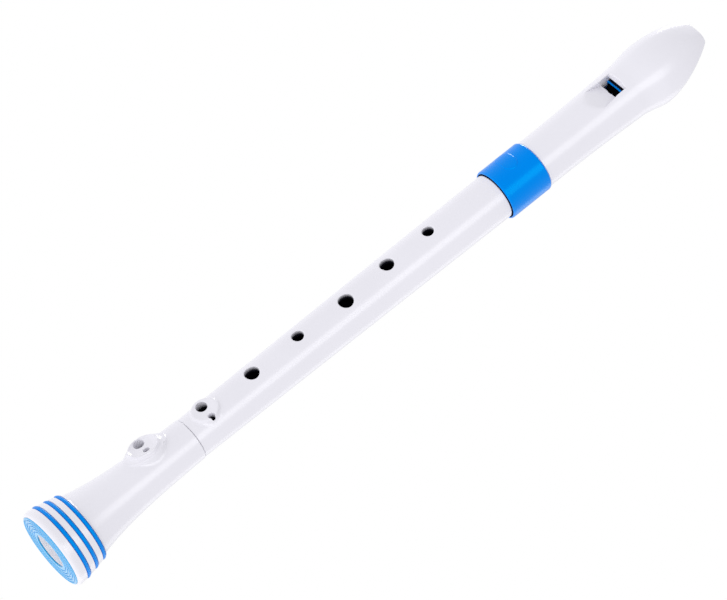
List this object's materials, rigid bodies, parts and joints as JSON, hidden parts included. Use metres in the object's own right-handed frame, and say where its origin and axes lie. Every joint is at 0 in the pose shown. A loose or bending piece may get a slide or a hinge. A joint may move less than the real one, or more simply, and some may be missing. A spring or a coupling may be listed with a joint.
{
  "type": "soprano recorder",
  "caption": "Soprano recorder that pulls apart at two sealed tenons: a beaked head with windway and window, a tapered body with finger holes and a belled foot.",
  "frame": {"origin": "centre of the bell end face, on the bore axis", "axes": "+Z along the bore towards the mouthpiece, -Y the side with the window and the finger holes, +X to the right of someone who faces the holes"},
  "size_m": [0.034, 0.034, 0.3285],
  "materials": {
    "white_plastic": "satin moulded",
    "blue_block": "moulded gloss",
    "blue_collar": "satin moulded",
    "blue_rings": "soft satin",
    "blue_insert": "moulded gloss",
    "seal_rubber": "greased"
  },
  "bodies": {
    "body": {"body_joint": "white_plastic"},
    "head_seals": {"head_seal_upper": "seal_rubber", "head_seal_lower": "seal_rubber"},
    "head": {"head_joint": "white_plastic", "windway_block": "blue_block", "joint_collar": "blue_collar"},
    "foot_seal_ring": {"foot_seal": "seal_rubber"},
    "foot": {"foot_joint": "white_plastic", "bell_ring_upper": "blue_rings", "bell_ring_middle": "blue_rings", "bell_ring_lower": "blue_rings", "bell_end_insert": "blue_insert"}
  },
  "joints": [
    {"name": "head_turn", "type": "hinge", "parent": "body", "child": "head_seals", "pos_m": [0, 0, 0.2345], "axis": [0, 0, 1], "continuous": true},
    {"name": "head_slide", "type": "slide", "parent": "head_seals", "child": "head", "axis": [0, 0, 1], "range_m": [0, 0.026]},
    {"name": "foot_turn", "type": "hinge", "parent": "body", "child": "foot_seal_ring", "pos_m": [0, 0, 0.062], "axis": [0, 0, 1], "continuous": true},
    {"name": "foot_slide", "type": "slide", "parent": "foot_seal_ring", "child": "foot", "axis": [0, 0, -1], "range_m": [0, 0.014]}
  ]
}
